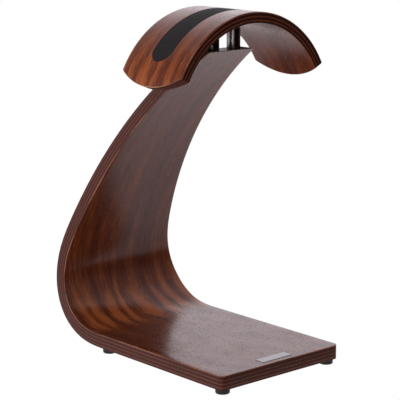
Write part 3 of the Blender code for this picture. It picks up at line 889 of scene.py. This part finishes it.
def make_saddle(materials):
    """The arch, with the pad's groove on top, the posts' seats below and the screws' holes."""
    rim = rim_profile(SADDLE_EDGE_ROUNDING, SADDLE_PLY, SADDLE_STEPS_DOWN)
    steps = (SADDLE_STEPS_ALONG, SADDLE_STEPS_ACROSS)
    piece = board("plywood_saddle", saddle_outline(), *steps, rim, bend_saddle)
    groove = [(0.0, -CUTTER_SHORT_OVERSHOOT), (0.0, GROOVE_DEPTH)]
    cutters = [pad_board("cutter", PAD_WIDTH / 2.0 + GAP, PAD_HALF_ARC + GAP, groove)]
    seat = SADDLE_AXIS_Z + SADDLE_SEAT_RISE
    head = SCREW_HEAD_DIAMETER / 2.0 + GAP
    shank = THREAD_DIAMETER / 2.0 + GAP
    head_low = SADDLE_AXIS_Z + SCREW_HEAD_RISE - GAP
    top = head_low + GAP + CUTTER_OVERSHOOT
    countersunk = [(0.0, top), (head, top), (head, head_low), (shank, head_low - head + shank)]
    countersunk += [(shank, seat - CUTTER_SHORT_OVERSHOOT), (0.0, seat - CUTTER_SHORT_OVERSHOOT)]
    for side in SIDES:
        cutters.append(drill("post_" + side, disc(POST_DIAMETER / 2.0 + GAP, seat, seat - SADDLE_PLY), 64))
        cutters.append(drill("post_" + side, countersunk, 48))
    cut(piece, cutters)
    write_grain(piece, saddle_grain)
    finish_piece(piece, materials, "saddle")
    mark_edges(piece, SADDLE_LAYERS)


def pad_board(name, half_width, half_arc, profile):
    """A board with round ends, bent with the saddle: the pad, or the cutter of its groove."""
    straight = half_arc - half_width
    end = arc_points((straight, 0.0), half_width, -90.0, 90.0, PAD_STEPS_ACROSS + 1)
    side = np.linspace((-straight, -half_width), (straight, -half_width), PAD_STEPS_ALONG + 1)
    loop = np.concatenate((side[:-1], end[:-1], side[:0:-1] * (1.0, -1.0), end[:0:-1] * (-1.0, 1.0)))
    return board(name, loop, PAD_STEPS_ALONG, PAD_STEPS_ACROSS, profile, bend_saddle)


def make_pad(material):
    """The rubber strip, its edges rounded, flush with the top of the saddle."""
    profile = rim_profile(PAD_ROUNDING, PAD_THICKNESS, 2, 5)
    piece = pad_board("pad_strip", PAD_WIDTH / 2.0, PAD_HALF_ARC, profile)
    finish_piece(piece, material, "saddle_pad")


def quarter(centre_radius, centre_height, radius, start, end, steps):
    """(radius, height) pairs round a rounded edge of a turned solid."""
    angles = [math.radians(start + (end - start) * i / steps) for i in range(steps + 1)]
    return [(centre_radius + radius * math.cos(a), centre_height + radius * math.sin(a)) for a in angles]


def make_posts(material):
    """Round pillars with a threaded bore, drawn smooth, in each end."""
    bore = THREAD_DIAMETER / 2.0 + GAP
    for side in SIDES:
        node = "post_" + side
        low, high = (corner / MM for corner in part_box(node))
        centre = node_centre(node)
        rim = (high.x - low.x) / 2.0 - POST_ROUNDING
        bore_end = high.z - POST_BORE_DEPTH
        profile = [(0.0, bore_end), (bore, bore_end), (bore, high.z)]
        profile += quarter(rim, high.z - POST_ROUNDING, POST_ROUNDING, 90.0, 0.0, 4)
        profile += quarter(rim, low.z + POST_ROUNDING, POST_ROUNDING, 0.0, -90.0, 4)
        bore_end = low.z + POST_BORE_DEPTH
        profile += [(bore, low.z), (bore, bore_end), (0.0, bore_end)]
        piece = turned("turned_" + node, profile, centre.x, centre.y, 96)
        finish_piece(piece, material, node)


def make_feet(material):
    """Round rubber feet with a soft lower edge and a dimple underneath."""
    for node in ("foot_" + end + "_" + side for end in ENDS for side in SIDES):
        low, high = (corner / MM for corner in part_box(node))
        centre = node_centre(node)
        radius = (high.x - low.x) / 2.0
        rim = radius - FOOT_TOP_ROUNDING
        low_rim = radius - FOOT_DRAFT - FOOT_ROUNDING
        profile = [(0.0, high.z)]
        profile += quarter(rim, high.z - FOOT_TOP_ROUNDING, FOOT_TOP_ROUNDING, 90.0, 0.0, 3)
        profile += quarter(low_rim, low.z + FOOT_ROUNDING, FOOT_ROUNDING, 0.0, -90.0, 8)
        profile += [(radius * DIMPLE_SHARES[0], low.z), (radius * DIMPLE_SHARES[1], low.z + DIMPLE_DEPTHS[0])]
        profile += [(0.0, low.z + DIMPLE_DEPTHS[1])]
        piece = turned("rubber_" + node, profile, centre.x, centre.y, 72)
        finish_piece(piece, material, node)


def make_badge(material):
    """The plate, blank, with softly rounded edges."""
    width, depth, thickness = BADGE_HIGH - BADGE_LOW
    centre = node_centre("badge")
    corners = rounded_corners(width, depth, BADGE_CORNER, 6)
    counts = (BADGE_STEPS_ALONG, BADGE_STEPS_ACROSS) * 2
    sides = []
    for index, count in enumerate(counts):
        line = np.concatenate((corners[index][3:], corners[(index + 1) % 4][:4]))
        sides.append(resample(line, count + 1)[:-1])

    def lay(points):
        x, y, below = points.T
        return np.stack([centre.x + x, centre.y + y, BADGE_HIGH.z - below], axis=-1)

    rim = rim_profile(BADGE_ROUNDING, thickness, 2, 4)
    piece = board("blank_badge", np.concatenate(sides), BADGE_STEPS_ALONG, BADGE_STEPS_ACROSS, rim, lay)
    finish_piece(piece, material, "badge")


def finish_cad_nodes():
    """Procedural finishes for the CAD nodes that stay: the fasteners and the adhesive."""
    finishes = {"fastener_steel": make_zinc_steel(), "adhesive_film": make_adhesive()}
    for subpart in frame["record"]["subparts"]:
        if subpart["material_slot"] in finishes:
            for mesh_slot in frame["nodes"][subpart["node"]].material_slots:
                mesh_slot.material = finishes[subpart["material_slot"]]


# ---------------------------------------------------------------- stage

# where the camera stands, which way it looks, and its lens and sensor in millimetres
CAMERA_PLACE = Vector((-0.79195, -0.90795, 0.37243))
CAMERA_LOOK = Vector((0.64744, 0.73389, -0.20549))
CAMERA_LENS = 144.02
SENSOR_WIDTH = 36.0
CAMERA_CLIP_START = 0.05

# a floor that is short in front, so that the bend doesn't mirror it
FLOOR_HALF = 0.42
FLOOR_FRONT = 0.125
WHITE = (1.0, 1.0, 1.0)
MIRRORED_FLOOR = (1.0, 0.88, 0.91)
LAMP_COLOUR = (1.0, 0.93, 0.99, 1.0)

# soft lights far away: (azimuth from +X towards +Y, elevation, half-angle) in degrees, then strength
SOFT_LIGHTS = {
    "window on the left": (180.0, 8.0, 60.0, 2.9),
    "wall behind": (70.0, 5.0, 55.0, 1.36),
    "ceiling behind, on the right": (20.0, 42.0, 50.0, 0.85),
    "ceiling in front, on the left": (225.0, 42.0, 45.0, 0.9),
    "ceiling in front, on the right": (315.0, 42.0, 45.0, 0.4),
}


def make_camera():
    """A long lens from the left front, a little above."""
    data = bpy.data.cameras.new("camera")
    data.lens = CAMERA_LENS
    data.sensor_width = SENSOR_WIDTH
    data.clip_start = CAMERA_CLIP_START
    camera = bpy.data.objects.new("camera", data)
    bpy.context.scene.collection.objects.link(camera)
    camera.location = CAMERA_PLACE
    camera.rotation_euler = CAMERA_LOOK.to_track_quat("-Z", "Y").to_euler()
    bpy.context.scene.camera = camera


def make_floor():
    """A white table top, lit from within so that nothing on it casts a shadow, and warm in reflections."""
    mesh = bpy.data.meshes.new("floor")
    surface = bmesh.new()
    front, back = ([surface.verts.new((x, y, 0.0)) for x in (-FLOOR_HALF, FLOOR_HALF)]
                   for y in (-FLOOR_FRONT, FLOOR_HALF))
    surface.faces.new((front[0], front[1], back[1], back[0]))
    surface.to_mesh(mesh)
    surface.free()
    floor = bpy.data.objects.new("floor", mesh)
    bpy.context.scene.collection.objects.link(floor)
    paper = Material("white_table", Roughness=1.0)
    paper.set("Base Color", (0.0, 0.0, 0.0, 1.0))
    paper.set("Specular IOR Level", 0.0)
    seen = paper.node("LightPath").outputs["Is Camera Ray"]
    paper.set("Emission Color", paper.mix(seen, MIRRORED_FLOOR, WHITE))
    paper.set("Emission Strength", 1.0)
    mesh.materials.append(paper.material)


def soft_light(tree, direction, azimuth, elevation, half_angle, strength):
    """Strength of one soft light in each direction: full at its middle, fading smoothly to nothing."""
    azimuth = math.radians(azimuth)
    elevation = math.radians(elevation)
    flat = math.cos(elevation)
    dot = tree.nodes.new("ShaderNodeVectorMath")
    dot.operation = "DOT_PRODUCT"
    tree.links.new(direction, dot.inputs[0])
    dot.inputs[1].default_value = (flat * math.cos(azimuth), flat * math.sin(azimuth), math.sin(elevation))
    fade = tree.nodes.new("ShaderNodeMapRange")
    fade.interpolation_type = "SMOOTHSTEP"
    tree.links.new(dot.outputs["Value"], fade.inputs["Value"])
    fade.inputs["From Min"].default_value = math.cos(math.radians(half_angle))
    fade.inputs["From Max"].default_value = 1.0
    fade.inputs["To Max"].default_value = strength
    return fade.outputs["Result"]


def make_world():
    """Plain white seen directly; as light, a few broad soft lights."""
    world = bpy.data.worlds.new("studio")
    bpy.context.scene.world = world
    world.use_nodes = True
    tree = world.node_tree
    tree.nodes.clear()
    output = tree.nodes.new("ShaderNodeOutputWorld")
    direction = tree.nodes.new("ShaderNodeTexCoord").outputs["Generated"]
    strengths = [soft_light(tree, direction, *light) for light in SOFT_LIGHTS.values()]
    total = strengths[0]
    for strength in strengths[1:]:
        together = tree.nodes.new("ShaderNodeMath")
        together.operation = "ADD"
        tree.links.new(total, together.inputs[0])
        tree.links.new(strength, together.inputs[1])
        total = together.outputs[0]
    light = tree.nodes.new("ShaderNodeBackground")
    light.inputs["Color"].default_value = LAMP_COLOUR
    tree.links.new(total, light.inputs["Strength"])
    seen = tree.nodes.new("ShaderNodeBackground")
    seen.inputs["Color"].default_value = (*WHITE, 1.0)
    path = tree.nodes.new("ShaderNodeLightPath")
    choose = tree.nodes.new("ShaderNodeMixShader")
    tree.links.new(path.outputs["Is Camera Ray"], choose.inputs["Fac"])
    tree.links.new(light.outputs[0], choose.inputs[1])
    tree.links.new(seen.outputs[0], choose.inputs[2])
    tree.links.new(choose.outputs[0], output.inputs["Surface"])


def make_stage():
    make_camera()
    make_world()
    make_floor()
    bpy.context.scene.view_settings.view_transform = "Standard"


make_stage()
make_frame(make_plywood("frame_plywood", FRAME_SEED, FRAME_RIBBONS, FRAME_FIGURE_AND_LIGHT, PALE_PLY))
make_saddle(make_plywood("saddle_plywood", SADDLE_SEED, SADDLE_RIBBONS, SADDLE_FIGURE_AND_LIGHT, PALE_SADDLE_PLY))
make_pad(make_pad_rubber())
make_posts(make_black_nickel())
make_feet(make_foot_rubber())
make_badge(make_badge_metal())
finish_cad_nodes()
